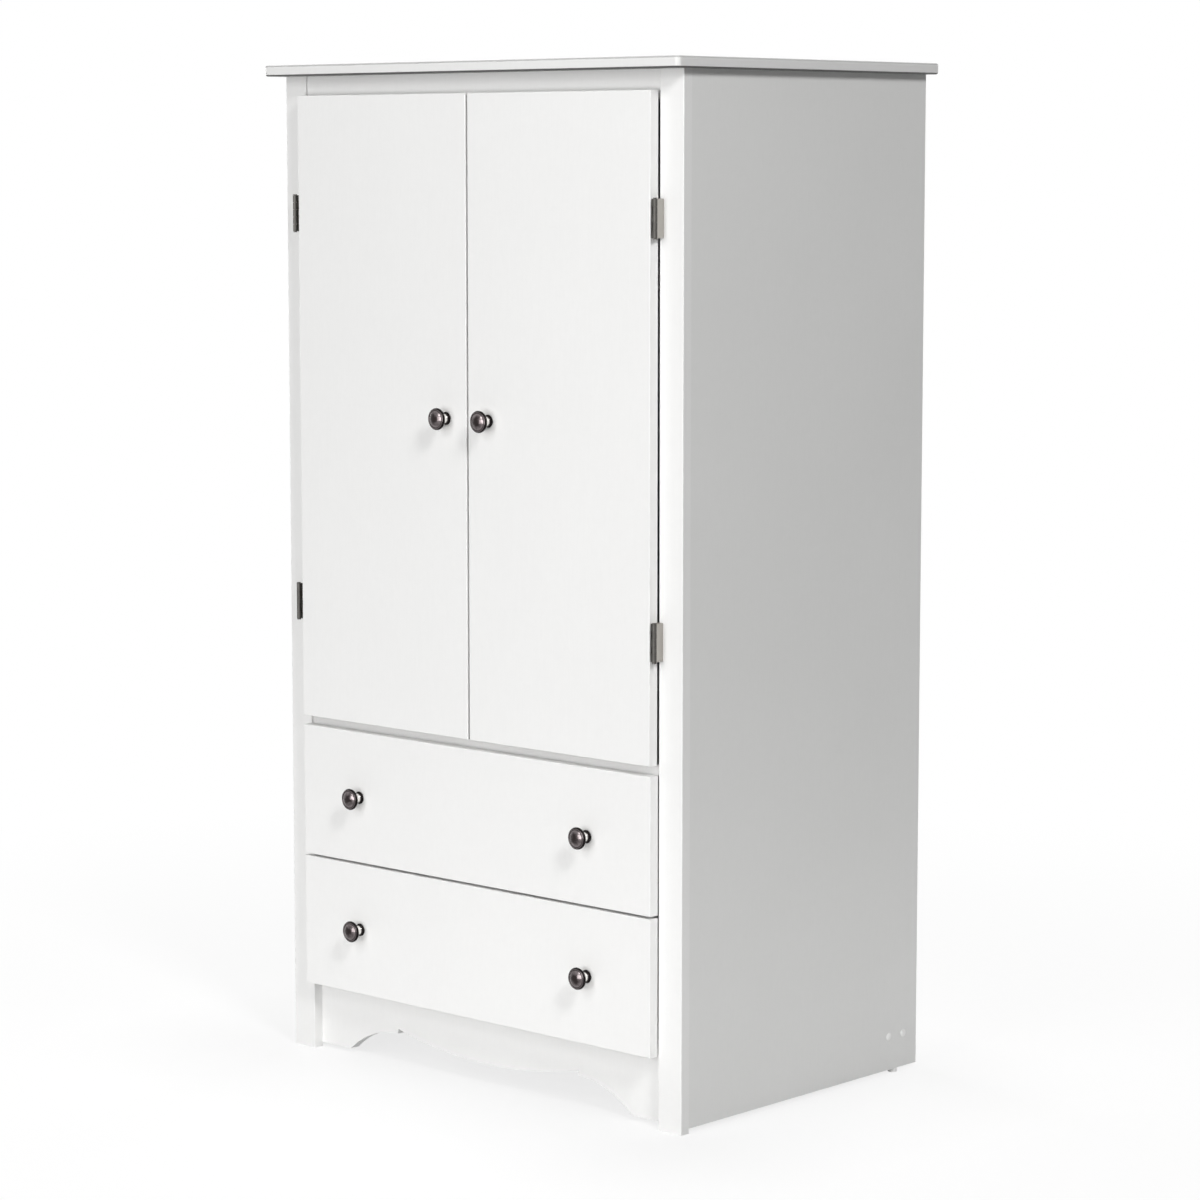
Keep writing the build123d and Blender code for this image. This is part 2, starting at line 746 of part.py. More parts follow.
def knuckle_spans(first):
    """Spans in z of every second knuckle of both hinges, from the given one."""
    bottoms = [
        level - hinge_height / 2 + n * knuckle_pitch
        for level in hinge_levels
        for n in range(first, hinge_knuckles, 2)
    ]
    return [(z, z + knuckle_height) for z in bottoms]


door_knuckles = knuckle_spans(0)
frame_knuckles = knuckle_spans(1)


def barrel(spans):
    """Adds the knuckles in the given spans to the open part."""
    for low, high in spans:
        with Locations((hinge_x, hinge_y, low)):
            Cylinder(hinge_barrel_radius, high - low, align=OUTWARD)


with BuildPart() as right_frame_leaves:
    for level in hinge_levels:
        span = (level - hinge_height / 2, level + hinge_height / 2)
        block(frame_plate_x, (front_y, front_y + hinge_frame_plate), span)
        block((door_leaf_x[1] + hinge_air, frame_wall_x[1]), frame_strip_y, span)
        block(frame_wall_x, (door_arm_y[1] + hinge_air, front_y), span)
    for span in frame_knuckles:
        block((frame_plate_x[0], frame_wall_x[1]), frame_strip_y, span)
        block(frame_wall_x, (hinge_y, front_y), span)
    barrel(frame_knuckles)
    bore(knuckle_bores, hinge_pin_radius + hinge_pin_fit, hinge_height)
    bore(hinge_frame_screw_places, screw_radius + hole_play, screw_length)

with BuildPart() as hinge_frame_leaves:
    add(right_frame_leaves.part)
    mirror(about=Plane.YZ)
save(hinge_frame_leaves, "hinge_frame_leaves")

with BuildPart() as hinge_pins:
    pin_half_length = hinge_height / 2 + hinge_air
    for level in hinge_levels:
        with Locations((hinge_x, hinge_y, level)):
            Cylinder(hinge_pin_radius, 2 * pin_half_length)
        with Locations((hinge_x, hinge_y, level + pin_half_length)):
            Cylinder(hinge_pin_head_radius, hinge_pin_head_height, align=OUTWARD)
        with Locations((hinge_x, hinge_y, level - pin_half_length)):
            Cylinder(hinge_pin_head_radius, hinge_pin_head_height, align=INWARD)
    mirror(about=Plane.YZ)
save(hinge_pins, "hinge_pins")

with BuildPart() as right_hinge_leaves:
    for level in hinge_levels:
        span = (level - hinge_height / 2, level + hinge_height / 2)
        block(door_leaf_x, (door_arm_y[0], door_leaf_y[1]), span)
        block((door_outer_x - hinge_door_plate, door_leaf_x[1]), door_leaf_y, span)
    for low, high in frame_knuckles:
        notch_x = (frame_plate_x[0] - hinge_air, door_leaf_x[1])
        notch_y = (frame_strip_y[0] - hinge_air, door_leaf_y[1])
        block(notch_x, notch_y, (low - hinge_air, high + hinge_air), Mode.SUBTRACT)
    for span in door_knuckles:
        block((door_outer_x, hinge_x), door_arm_y, span)
    barrel(door_knuckles)
    bore(knuckle_bores, hinge_pin_radius + hinge_pin_fit, hinge_height)
    bore(hinge_door_screw_places, screw_radius + hole_play, screw_length)
save(right_hinge_leaves, "right_door_hinge_leaves")
save(mirrored(right_hinge_leaves), "left_door_hinge_leaves")

# Magnetic catches on the fixed shelf

catch_half_width = catch_width / 2
magnet_z = shelf_top_z + catch_height / 2

with BuildPart() as door_catches:
    catch_x_span = (catch_x - catch_half_width, catch_x + catch_half_width)
    block(catch_x_span, (catch_front_y, catch_foot_y), (shelf_top_z, shelf_top_z + catch_height))
    block(
        catch_x_span,
        (catch_foot_y, catch_foot_y + catch_foot),
        (shelf_top_z, shelf_top_z + catch_foot_height),
    )
    block(
        (catch_x - magnet_width / 2, catch_x + magnet_width / 2),
        (catch_front_y, catch_front_y + magnet_depth),
        (magnet_z - magnet_height / 2, magnet_z + magnet_height / 2),
        Mode.SUBTRACT,
    )
    bore(catch_screw_places, screw_radius + hole_play, screw_length)
    mirror(about=Plane.YZ)
save(door_catches, "door_catches")

with BuildPart() as catch_magnets:
    block(
        (catch_x - magnet_width / 2, catch_x + magnet_width / 2),
        (catch_front_y, catch_front_y + magnet_depth),
        (magnet_z - magnet_height / 2, magnet_z + magnet_height / 2),
    )
    mirror(about=Plane.YZ)
save(catch_magnets, "catch_magnets")

# Doors

with BuildPart() as right_door:
    block((door_inner_x, door_outer_x), (door_face_y, door_back_y), (door_z, door_top_z))
    fillet(right_door.faces().sort_by(Axis.Y)[0].edges(), edge_round)
    door_knob_back = place(door_knob_x, door_back_y, door_knob_z, TO_BACK)
    bore([door_knob_back], knob_screw_radius + hole_play, door_thickness)
    bore(hinge_door_screw_places + strike_screw_places, screw_radius + hole_play, screw_length + hole_end_gap)

with BuildPart() as right_door_knob:
    copies(knob, [place(door_knob_x, door_face_y, door_knob_z, TO_FRONT)])

with BuildPart() as right_door_strike:
    block(
        (catch_x - strike_width / 2, catch_x + strike_width / 2),
        (door_back_y, door_back_y + strike_thickness),
        (strike_z, strike_z + strike_height),
    )
    bore(strike_screw_places, screw_radius + hole_play, strike_thickness)

with BuildPart() as right_door_screws:
    copies(short_screw, hinge_door_screw_places + strike_screw_places)
    copies(knob_screw(door_thickness), [door_knob_back])

door_pieces = {
    "door": right_door,
    "door_knob": right_door_knob,
    "door_strike": right_door_strike,
    "door_screws": right_door_screws,
}
for name, piece in door_pieces.items():
    save(piece, f"right_{name}")
    save(mirrored(piece), f"left_{name}")

# Roller slides: the cabinet channel has its wheel at the front, the drawer rail has one at the rear

axle_length = axle_boss_height + 2 * roller_end_gap + roller_width


def axle(seat):
    """Adds a riveted wheel axle to the open part, standing on the given seat."""
    with Locations(seat):
        Cylinder(axle_boss_radius, axle_boss_height, align=OUTWARD)
        Cylinder(axle_radius, axle_length, align=OUTWARD)
    with Locations(seat.offset(axle_length)):
        Cylinder(axle_boss_radius, axle_boss_height, align=OUTWARD)


def rollers(seat):
    """The pair of wheels on one axle line."""
    with BuildPart() as wheels:
        with Locations(seat.offset(axle_boss_height + roller_end_gap)):
            Cylinder(roller_radius, roller_width, align=OUTWARD)
            fillet(wheels.edges(), roller_edge)
            Cylinder(axle_radius + axle_fit, roller_width, align=OUTWARD, mode=Mode.SUBTRACT)
        mirror(about=Plane.YZ)
    return wheels


cabinet_axles = {
    name: place(opening_x - slide_steel, slide_axle_y, z + drawer_drop + axle_rise, TO_LEFT)
    for name, z in drawer_levels.items()
}
drawer_axles = {
    name: place(box_x + slide_steel, drawer_axle_y, z + drawer_drop + axle_rise, TO_RIGHT)
    for name, z in drawer_levels.items()
}

with BuildPart() as cabinet_slides:
    for name, level in drawer_levels.items():
        low = level + drawer_drop
        high = low + channel_height
        run = (slide_front_y, slide_rear_y)
        block((opening_x - slide_steel, opening_x), run, (low, high))
        block((opening_x - channel_reach, opening_x), run, (low, low + slide_steel))
        block((opening_x - channel_reach, opening_x), run, (high - slide_steel, high))
        axle(cabinet_axles[name])
    bore(cabinet_slide_screw_places, screw_radius + hole_play, screw_length)
    mirror(about=Plane.YZ)
save(cabinet_slides, "cabinet_slides")


# Drawers

def save_drawer(name, front_z):
    """Builds and saves every piece of one drawer."""
    box_z = front_z + drawer_drop
    box_top_z = box_z + drawer_box_height
    bottom_z = box_z + drawer_bottom_lift
    bottom_span = (bottom_z, bottom_z + drawer_bottom_thickness)
    groove_span = (bottom_z - drawer_play, bottom_z + drawer_bottom_thickness + drawer_play)
    back_rear_y = drawer_rear_y - drawer_back_inset
    back_front_y = back_rear_y - drawer_side_thickness
    knob_z = front_z + drawer_front_height / 2
    knob_backs = both_sides([place(drawer_knob_x, drawer_back_y, knob_z, TO_BACK)])
    first_screw_y = drawer_back_y + slide_screw_inset
    screw_rows = spread(first_screw_y, drawer_axle_y - slide_screw_inset, slide_screw_count)
    slide_screw_places = [place(box_x + slide_steel, y, box_z + axle_rise, TO_RIGHT) for y in screw_rows]

    with BuildPart() as front:
        block(
            (-drawer_outer_x, drawer_outer_x),
            (drawer_face_y, drawer_back_y),
            (front_z, front_z + drawer_front_height),
        )
        fillet(front.faces().sort_by(Axis.Y)[0].edges(), edge_round)
        groove_y = (drawer_back_y - drawer_groove, drawer_back_y)
        block((-groove_x, groove_x), groove_y, groove_span, Mode.SUBTRACT)
        for low, high in ((box_inner_x, box_x), (-box_x, -box_inner_x)):
            housing = (low - drawer_play, high + drawer_play)
            block(housing, groove_y, (box_z - drawer_play, box_top_z + drawer_play), Mode.SUBTRACT)
        bore(knob_backs, knob_screw_radius + hole_play, drawer_front_thickness)
    save(front, f"{name}_drawer_front")

    with BuildPart() as side:
        side_y = (drawer_back_y - drawer_groove + drawer_play, drawer_rear_y)
        block((box_inner_x, box_x), side_y, (box_z, box_top_z))
        block((box_inner_x, groove_x), side_y, groove_span, Mode.SUBTRACT)
        dado_y = (back_front_y - drawer_play, back_rear_y + drawer_play)
        block((box_inner_x, groove_x), dado_y, (bottom_z, box_top_z), Mode.SUBTRACT)
        bore(slide_screw_places, screw_radius + hole_play, screw_length + hole_end_gap)
    save(side, f"{name}_drawer_right_side")
    save(mirrored(side), f"{name}_drawer_left_side")

    insert_x = groove_x - drawer_play
    with BuildPart() as back:
        block((-insert_x, insert_x), (back_front_y, back_rear_y), (bottom_span[1], box_top_z))
    save(back, f"{name}_drawer_back")

    with BuildPart() as bottom:
        block((-insert_x, insert_x), (drawer_back_y - drawer_groove + drawer_play, back_rear_y), bottom_span)
    save(bottom, f"{name}_drawer_bottom")

    with BuildPart() as knobs:
        copies(knob, both_sides([place(drawer_knob_x, drawer_face_y, knob_z, TO_FRONT)]))
    save(knobs, f"{name}_drawer_knobs")

    with BuildPart() as slides:
        run = (drawer_back_y + slide_end_gap, drawer_rear_y)
        flange_z = box_z + flange_rise
        block((box_x, box_x + slide_steel), run, (box_z - slide_steel, flange_z + slide_steel))
        block((box_x - drawer_foot_reach, box_x + slide_steel), run, (box_z - slide_steel, box_z))
        block((box_x, box_x + drawer_flange_reach), run, (flange_z, flange_z + slide_steel))
        axle(drawer_axles[name])
        bore(slide_screw_places, screw_radius + hole_play, screw_length)
        mirror(about=Plane.YZ)
    save(slides, f"{name}_drawer_slides")

    with BuildPart() as screws:
        copies(short_screw, both_sides(slide_screw_places))
        copies(knob_screw(drawer_front_thickness), knob_backs)
    save(screws, f"{name}_drawer_screws")

    save(rollers(cabinet_axles[name]), f"{name}_cabinet_rollers")
    save(rollers(drawer_axles[name]), f"{name}_drawer_rollers")


for drawer_name, drawer_front_z in drawer_levels.items():
    save_drawer(drawer_name, drawer_front_z)
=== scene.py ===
"""A white two-door armoire in a plain white studio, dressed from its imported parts."""

import logging
import math
from dataclasses import dataclass
from enum import Enum

import bmesh
import bpy
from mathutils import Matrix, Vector


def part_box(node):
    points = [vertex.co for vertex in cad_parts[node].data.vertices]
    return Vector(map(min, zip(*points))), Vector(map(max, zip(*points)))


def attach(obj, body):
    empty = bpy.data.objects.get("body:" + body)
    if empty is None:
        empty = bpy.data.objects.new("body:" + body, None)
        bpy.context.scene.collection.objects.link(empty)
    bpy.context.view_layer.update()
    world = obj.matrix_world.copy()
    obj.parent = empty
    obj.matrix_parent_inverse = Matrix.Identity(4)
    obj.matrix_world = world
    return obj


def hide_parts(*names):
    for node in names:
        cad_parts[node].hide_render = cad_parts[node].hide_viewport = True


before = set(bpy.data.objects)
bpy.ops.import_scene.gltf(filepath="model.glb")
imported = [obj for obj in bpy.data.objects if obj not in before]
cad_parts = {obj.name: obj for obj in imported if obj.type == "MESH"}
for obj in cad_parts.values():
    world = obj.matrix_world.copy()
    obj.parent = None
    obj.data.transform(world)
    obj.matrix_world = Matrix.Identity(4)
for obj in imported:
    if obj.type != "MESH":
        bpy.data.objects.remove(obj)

log = logging.getLogger("armoire")

Colour = tuple[float, float, float]
Paint = tuple[float, float, float, float]
Point = tuple[float, float, float]
Span = tuple[float, float]
Outline = tuple[tuple[float, float], ...]
Socket = bpy.types.NodeSocket
Node = bpy.types.Node
Tree = bpy.types.NodeTree
Material = bpy.types.Material
Mesh = bpy.types.Mesh

WHITE: Colour = (1.0, 1.0, 1.0)
UNIT: Span = (0.0, 1.0)
FORWARD: Point = (0.0, -1.0, 0.0)


class Run(Enum):
    """The way that grain or brushing runs, as a stretch of the texture's space."""

    ACROSS = (0.04, 1.0, 1.0)
    DEEP = (1.0, 0.04, 1.0)
    UPRIGHT = (1.0, 1.0, 0.04)


class Gloss(Enum):
    """Mean roughness of the finishes."""

    POLISHED = 0.17
    PLATED = 0.3
    SATIN = 0.42
    EGGSHELL = 0.5
    MATT = 0.66


class Hand(Enum):
    """Left and right as the maker stands in front, with the sign of X."""

    LEFT = -1
    RIGHT = 1

    @property
    def word(self) -> str:
        """The side as the parts' names say it."""
        return self.name.lower()


class Level(Enum):
    """The two drawers."""

    UPPER = "upper"
    LOWER = "lower"


def opaque(colour: Colour, share: float = 1.0) -> Paint:
    """A colour with full alpha, lightened or darkened by a share."""
    return (colour[0] * share, colour[1] * share, colour[2] * share, 1.0)


def stand(name: str, data: bpy.types.ID) -> bpy.types.Object:
    """Puts a new object in the scene, at the origin.

    Args:
        name: The object's name.
        data: Its mesh, light or camera.

    Returns:
        The object.
    """
    thing = bpy.data.objects.new(name, data)
    bpy.context.scene.collection.objects.link(thing)
    return thing


class NodeDesk:
    """Adds nodes to one shader tree and joins them."""

    # The Mix node's colour sockets go by number, because others there share their names.
    MIX_SHARE = 0
    MIX_FIRST = 6
    MIX_SECOND = 7
    MIX_RESULT = 2

    def __init__(self, tree: Tree) -> None:
        """Takes the tree to fill."""
        self.tree = tree

    def add(self, kind: str, **settings: object) -> Node:
        """Adds a node.

        Args:
            kind: The node's type.
            settings: Attributes of the node.

        Returns:
            The new node.
        """
        node = self.tree.nodes.new(kind)
        for name, value in settings.items():
            setattr(node, name, value)
        return node

    def feed(self, node: Node, values: dict[str | int, object]) -> Node:
        """Sets or links inputs of a node.

        Args:
            node: The node.
            values: For each input, a socket to link from or a plain value.

        Returns:
            The same node.
        """
        for name, value in values.items():
            if isinstance(value, Socket):
                self.tree.links.new(value, node.inputs[name])
            else:
                node.inputs[name].default_value = value
        return node

    def maths(self, operation: str, first: object, second: object = 0.0, clamp: bool = False) -> Socket:
        """Does sums on two values.

        Args:
            operation: The Math node's operation.
            first: The first value.
            second: The second value.
            clamp: Whether the result stays between 0 and 1.

        Returns:
            The result.
        """
        node = self.add("ShaderNodeMath", operation=operation, use_clamp=clamp)
        return self.feed(node, {0: first, 1: second}).outputs[0]

    def spread(self, value: object, old: Span, low: object, high: object) -> Socket:
        """Spreads a span of values over another, and clamps it.

        Args:
            value: The value.
            old: The span that it comes from.
            low: The level for the span's start.
            high: The level for the span's end.

        Returns:
            The new value.
        """
        node = self.add("ShaderNodeMapRange")
        values = {"Value": value, "From Min": old[0], "From Max": old[1], "To Min": low, "To Max": high}
        return self.feed(node, values).outputs["Result"]

    def blend(self, share: object, first: object, second: object, way: str = "MIX") -> Socket:
        """Mixes two colours.

        Args:
            share: How much of the second shows.
            first: The first colour.
            second: The second colour.
            way: The Mix node's blend type.

        Returns:
            The mixed colour.
        """
        node = self.add("ShaderNodeMix", data_type="RGBA", blend_type=way)
        values = {self.MIX_SHARE: share, self.MIX_FIRST: first, self.MIX_SECOND: second}
        return self.feed(node, values).outputs[self.MIX_RESULT]

    def ramp(self, value: Socket, stops: list[tuple[float, Paint]]) -> Socket:
        """Colours a value from 0 to 1.

        Args:
            value: The value.
            stops: Places along it in rising order, each with its colour.

        Returns:
            The colour.
        """
        node = self.feed(self.add("ShaderNodeValToRGB"), {"Fac": value})
        marks = node.color_ramp.elements
        marks.remove(marks[1])
        marks[0].position, marks[0].color = stops[0]
        for position, colour in stops[1:]:
            marks.new(position).color = colour
        return node.outputs["Color"]

    def noise(self, place: object, scale: object, detail: float) -> Socket:
        """Adds cloudy noise.

        Args:
            place: The coordinates.
            scale: How fine it is.
            detail: How many octaves it has.

        Returns:
            Its value.
        """
        node = self.add("ShaderNodeTexNoise")
        return self.feed(node, {"Vector": place, "Scale": scale, "Detail": detail}).outputs[0]


@dataclass
class Effects:
    """Surface effects that several finishes share, each a node group built once."""

    cloud_span: Span = (0.36, 0.64)
    wide_share: float = 0.65
    fine_share: float = 0.35
    fine_ratio: float = 45.0
    ripple_ratio: float = 0.07
    dimple_share: float = 0.5
    line_span: Span = (0.25, 0.75)
    patch_span: Span = (0.33, 0.67)
    fibre_span: Span = (0.36, 0.64)

    def __post_init__(self) -> None:
        """Builds every group."""
        self.clouding = self._clouding()
        self.dimple = self._dimple()
        self.drawn_lines = self._drawn_lines()
        self.handling = self._handling()
        self.fibres = self._fibres()

    @staticmethod
    def _open(name: str, inputs: dict[str, str], outputs: dict[str, str]) -> tuple[NodeDesk, Node, Node]:
        """Starts a group.

        Args:
            name: The group's name.
            inputs: Its inputs with their socket types.
            outputs: Its outputs with their socket types.

        Returns:
            The desk on the group, its input node and its output node.
        """
        tree = bpy.data.node_groups.new(name, "ShaderNodeTree")
        for label, kind in inputs.items():
            tree.interface.new_socket(name=label, in_out="INPUT", socket_type=f"NodeSocket{kind}")
        for label, kind in outputs.items():
            tree.interface.new_socket(name=label, in_out="OUTPUT", socket_type=f"NodeSocket{kind}")
        desk = NodeDesk(tree)
        return desk, desk.add("NodeGroupInput"), desk.add("NodeGroupOutput")

    @staticmethod
    def _stretched(desk: NodeDesk, given: Node) -> Socket:
        """The group's coordinates, stretched along the run of the grain.

        Args:
            desk: The desk on the group.
            given: Its input node.

        Returns:
            The stretched coordinates.
        """
        drawn = desk.add("ShaderNodeVectorMath", operation="MULTIPLY")
        return desk.feed(drawn, {0: given.outputs["Vector"], 1: given.outputs["Stretch"]}).outputs[0]

    def _clouding(self) -> Tree:
        """Slow and fine clouding between two tones.

        Returns:
            The group.
        """
        desk, given, out = self._open(
            "clouding",
            {"Vector": "Vector", "Tone": "Color", "Shade": "Color", "Scale": "Float"},
            {"Color": "Color", "Mask": "Float"},
        )
        place, scale = given.outputs["Vector"], given.outputs["Scale"]
        wide = desk.maths("MULTIPLY", desk.noise(place, scale, detail=3.0), self.wide_share)
        finer = desk.maths("MULTIPLY", scale, self.fine_ratio)
        fine = desk.maths("MULTIPLY", desk.noise(place, finer, detail=2.0), self.fine_share)
        mask = desk.spread(desk.maths("ADD", wide, fine), self.cloud_span, *UNIT)
        colour = desk.blend(mask, given.outputs["Shade"], given.outputs["Tone"])
        desk.feed(out, {"Mask": mask, "Color": colour})
        return desk.tree

    def _dimple(self) -> Tree:
        """The fine dimple and slow ripple of a pressed, sprayed or moulded skin.

        Returns:
            The group.
        """
        desk, given, out = self._open("dimple", {"Vector": "Vector", "Scale": "Float"}, {"Height": "Float"})
        place, scale = given.outputs["Vector"], given.outputs["Scale"]
        fine = desk.maths("MULTIPLY", desk.noise(place, scale, detail=2.0), self.dimple_share)
        slow = desk.noise(place, desk.maths("MULTIPLY", scale, self.ripple_ratio), detail=1.0)
        desk.feed(out, {"Height": desk.maths("ADD", fine, slow)})
        return desk.tree

    def _drawn_lines(self) -> Tree:
        """Fine lines that brushing or drawing leaves in metal.

        Returns:
            The group.
        """
        desk, given, out = self._open(
            "drawn_lines",
            {"Vector": "Vector", "Stretch": "Vector", "Scale": "Float", "Smooth": "Float", "Rough": "Float"},
            {"Roughness": "Float", "Height": "Float"},
        )
        lines = desk.noise(self._stretched(desk, given), given.outputs["Scale"], detail=3.0)
        rough = desk.spread(lines, self.line_span, given.outputs["Smooth"], given.outputs["Rough"])
        desk.feed(out, {"Height": lines, "Roughness": rough})
        return desk.tree

    def _handling(self) -> Tree:
        """Patches that hands have dulled or worn smooth.

        Returns:
            The group.
        """
        desk, given, out = self._open(
            "handling",
            {"Vector": "Vector", "Scale": "Float", "Smooth": "Float", "Rough": "Float"},
            {"Roughness": "Float", "Mask": "Float"},
        )
        cloud = desk.noise(given.outputs["Vector"], given.outputs["Scale"], detail=4.0)
        mask = desk.spread(cloud, self.patch_span, *UNIT)
        rough = desk.spread(mask, UNIT, given.outputs["Smooth"], given.outputs["Rough"])
        desk.feed(out, {"Mask": mask, "Roughness": rough})
        return desk.tree

    def _fibres(self) -> Tree:
        """Short fibres or grain, as in hardboard, printed foil and raw wood.

        Returns:
            The group.
        """
        desk, given, out = self._open(
            "fibres",
            {"Vector": "Vector", "Stretch": "Vector", "Scale": "Float", "Light": "Color", "Dark": "Color"},
            {"Color": "Color", "Height": "Float"},
        )
        grain = desk.noise(self._stretched(desk, given), given.outputs["Scale"], detail=5.0)
        lines = desk.spread(grain, self.fibre_span, *UNIT)
        colour = desk.blend(lines, given.outputs["Dark"], given.outputs["Light"])
        desk.feed(out, {"Height": lines, "Color": colour})
        return desk.tree


@dataclass
class Coating:
    """One material in the making: its desk, shader and coordinates, and the shared effects."""

    desk: NodeDesk
    shader: Node
    place: Socket
    effects: Effects
    rubbed_share: float = 0.88
    dulled_share: float = 1.16

    def effect(self, group: Tree, values: dict[str | int, object]) -> Node:
        """Places a shared effect in the material.

        Args:
            group: The effect.
            values: Its inputs beside the coordinates.

        Returns:
            The group node.
        """
        node = self.desk.add("ShaderNodeGroup", node_tree=group)
        return self.desk.feed(node, {"Vector": self.place} | values)

    def along(self, axis: str) -> Socket:
        """The coordinate along X, Y or Z."""
        return self.desk.feed(self.desk.add("ShaderNodeSeparateXYZ"), {0: self.place}).outputs[axis]

    def paint(self, colour: Socket) -> None:
        """Gives the shader its colour."""
        self.desk.feed(self.shader, {"Base Color": colour})

    def plate(self) -> None:
        """Makes the surface bare metal."""
        self.shader.inputs["Metallic"].default_value = 1.0

    def dull(self, gloss: Gloss, scale: float) -> Socket:
        """Varies the roughness in patches round a gloss.

        Args:
            gloss: The mean roughness.
            scale: How fine the patches are.

        Returns:
            The patches' mask.
        """
        span = {"Smooth": gloss.value * self.rubbed_share, "Rough": gloss.value * self.dulled_share}
        patches = self.effect(self.effects.handling, {"Scale": scale} | span)
        self.desk.feed(self.shader, {"Roughness": patches.outputs["Roughness"]})
        return patches.outputs["Mask"]

    def raise_skin(self, height: Socket, depth: float, strength: float) -> None:
        """Raises the surface.

        Args:
            height: The relief from 0 to 1.
            depth: Its depth in metres.
            strength: How far it tilts the light.
        """
        values = {"Height": height, "Distance": depth, "Strength": strength}
        bump = self.desk.feed(self.desk.add("ShaderNodeBump"), values)
        self.desk.feed(self.shader, {"Normal": bump.outputs["Normal"]})


@dataclass(frozen=True)
class Finish:
    """What every finish has: a name, a colour and a gloss."""

    name: str
    colour: Colour
    gloss: Gloss

    def make(self, effects: Effects) -> Material:
        """Makes the material.

        Args:
            effects: The shared effects.

        Returns:
            The new material.
        """
        material = bpy.data.materials.new(self.name)
        material.use_nodes = True
        desk = NodeDesk(material.node_tree)
        place = desk.add("ShaderNodeTexCoord").outputs["Object"]
        self.lay(Coating(desk, material.node_tree.nodes["Principled BSDF"], place, effects))
        return material

    def lay(self, coating: Coating) -> None:
        """Feeds the shader in the finish's own way.

        Args:
            coating: The material in the making.
        """
        raise NotImplementedError


@dataclass(frozen=True)
class Laminate(Finish):
    """Pressed white laminate or foil on board: faintly clouded, with a fine upright grain in its skin."""

    shade: float = 0.975
    cloud_scale: float = 2.4
    grain_stretch: Point = (1.0, 1.0, 0.06)
    grain_scale: float = 420.0
    grain_shade: float = 0.97
    grain_share: float = 0.3
    grain_rise: float = 0.4
    patch_scale: float = 6.0
    dimple_scale: float = 1300.0
    skin_depth: float = 0.00005
    skin_tilt: float = 0.22

    def lay(self, coating: Coating) -> None:
        """Clouds the tone, varies the gloss and presses the grain.

        Args:
            coating: The material in the making.
        """
        desk, effects = coating.desk, coating.effects
        tones = {"Tone": opaque(self.colour), "Shade": opaque(self.colour, self.shade)}
        tone = coating.effect(effects.clouding, tones | {"Scale": self.cloud_scale})
        tints = {"Light": opaque(self.colour), "Dark": opaque(self.colour, self.grain_shade)}
        run = {"Stretch": self.grain_stretch, "Scale": self.grain_scale}
        grain = coating.effect(effects.fibres, run | tints)
        skinned = desk.blend(self.grain_share, tone.outputs["Color"], grain.outputs["Color"])
        coating.paint(self.edge(coating, skinned))
        coating.dull(self.gloss, self.patch_scale)
        skin = coating.effect(effects.dimple, {"Scale": self.dimple_scale})
        ridges = desk.maths("MULTIPLY", grain.outputs["Height"], self.grain_rise)
        height = desk.maths("ADD", skin.outputs["Height"], ridges)
        coating.raise_skin(height, self.skin_depth, self.skin_tilt)

    def edge(self, coating: Coating, tone: Socket) -> Socket:
        """Leaves the tone as it is, where a board's edges match its faces."""
        return tone


@dataclass(frozen=True)
class TopLaminate(Laminate):
    """Laminate on the top panel, with greyer edging, painted shade along the upper arris, and a painted
    shadow on the underside and the lowest strip of the edge.
    """

    under_z: float = 0.0
    thickness: float = 0.017
    shadow_line_rise: float = 0.0024
    painted_shadow_share: float = 0.06
    edging_share: float = 0.93
    shaded_arris_drop: float = 0.0026
    painted_arris_shade: float = 0.5
    fade: float = 0.0005

    def edge(self, coating: Coating, tone: Socket) -> Socket:
        """Paints shade and shadow onto the edges by their height.

        Args:
            coating: The material in the making.
            tone: The laminate's tone.

        Returns:
            The shaded tone.
        """
        desk = coating.desk
        rise = desk.maths("SUBTRACT", coating.along("Z"), self.under_z)
        level = desk.maths("DIVIDE", rise, self.thickness, clamp=True)
        arris = self.thickness - self.shaded_arris_drop
        # Painted shadow on the underside and the foot of the edge, greyer edging above it, painted shade
        # along the upper arris, full tone on the top face.
        shades = [
            (0.0, self.painted_shadow_share),
            (self.shadow_line_rise - self.fade, self.painted_shadow_share),
            (self.shadow_line_rise, self.edging_share),
            (arris - self.fade, self.edging_share),
            (arris + self.fade, self.painted_arris_shade),
            (self.thickness - self.fade, self.painted_arris_shade),
            (self.thickness, 1.0),
        ]
        stops = [(height / self.thickness, opaque(WHITE, share)) for height, share in shades]
        return desk.blend(1.0, tone, desk.ramp(level, stops), "MULTIPLY")


@dataclass(frozen=True)
class Hardboard(Finish):
    """Thin painted fibre sheet."""

    fibre_stretch: Point = (1.0, 1.0, 0.45)
    fibre_scale: float = 260.0
    fibre_shade: float = 0.93
    fibre_depth: float = 0.00007
    fibre_tilt: float = 0.3
    patch_scale: float = 9.0

    def lay(self, coating: Coating) -> None:
        """Shows the fibres under thin paint.

        Args:
            coating: The material in the making.
        """
        run = {"Stretch": self.fibre_stretch, "Scale": self.fibre_scale}
        tints = {"Light": opaque(self.colour), "Dark": opaque(self.colour, self.fibre_shade)}
        fibres = coating.effect(coating.effects.fibres, run | tints)
        coating.paint(fibres.outputs["Color"])
        coating.dull(self.gloss, self.patch_scale)
        coating.raise_skin(fibres.outputs["Height"], self.fibre_depth, self.fibre_tilt)


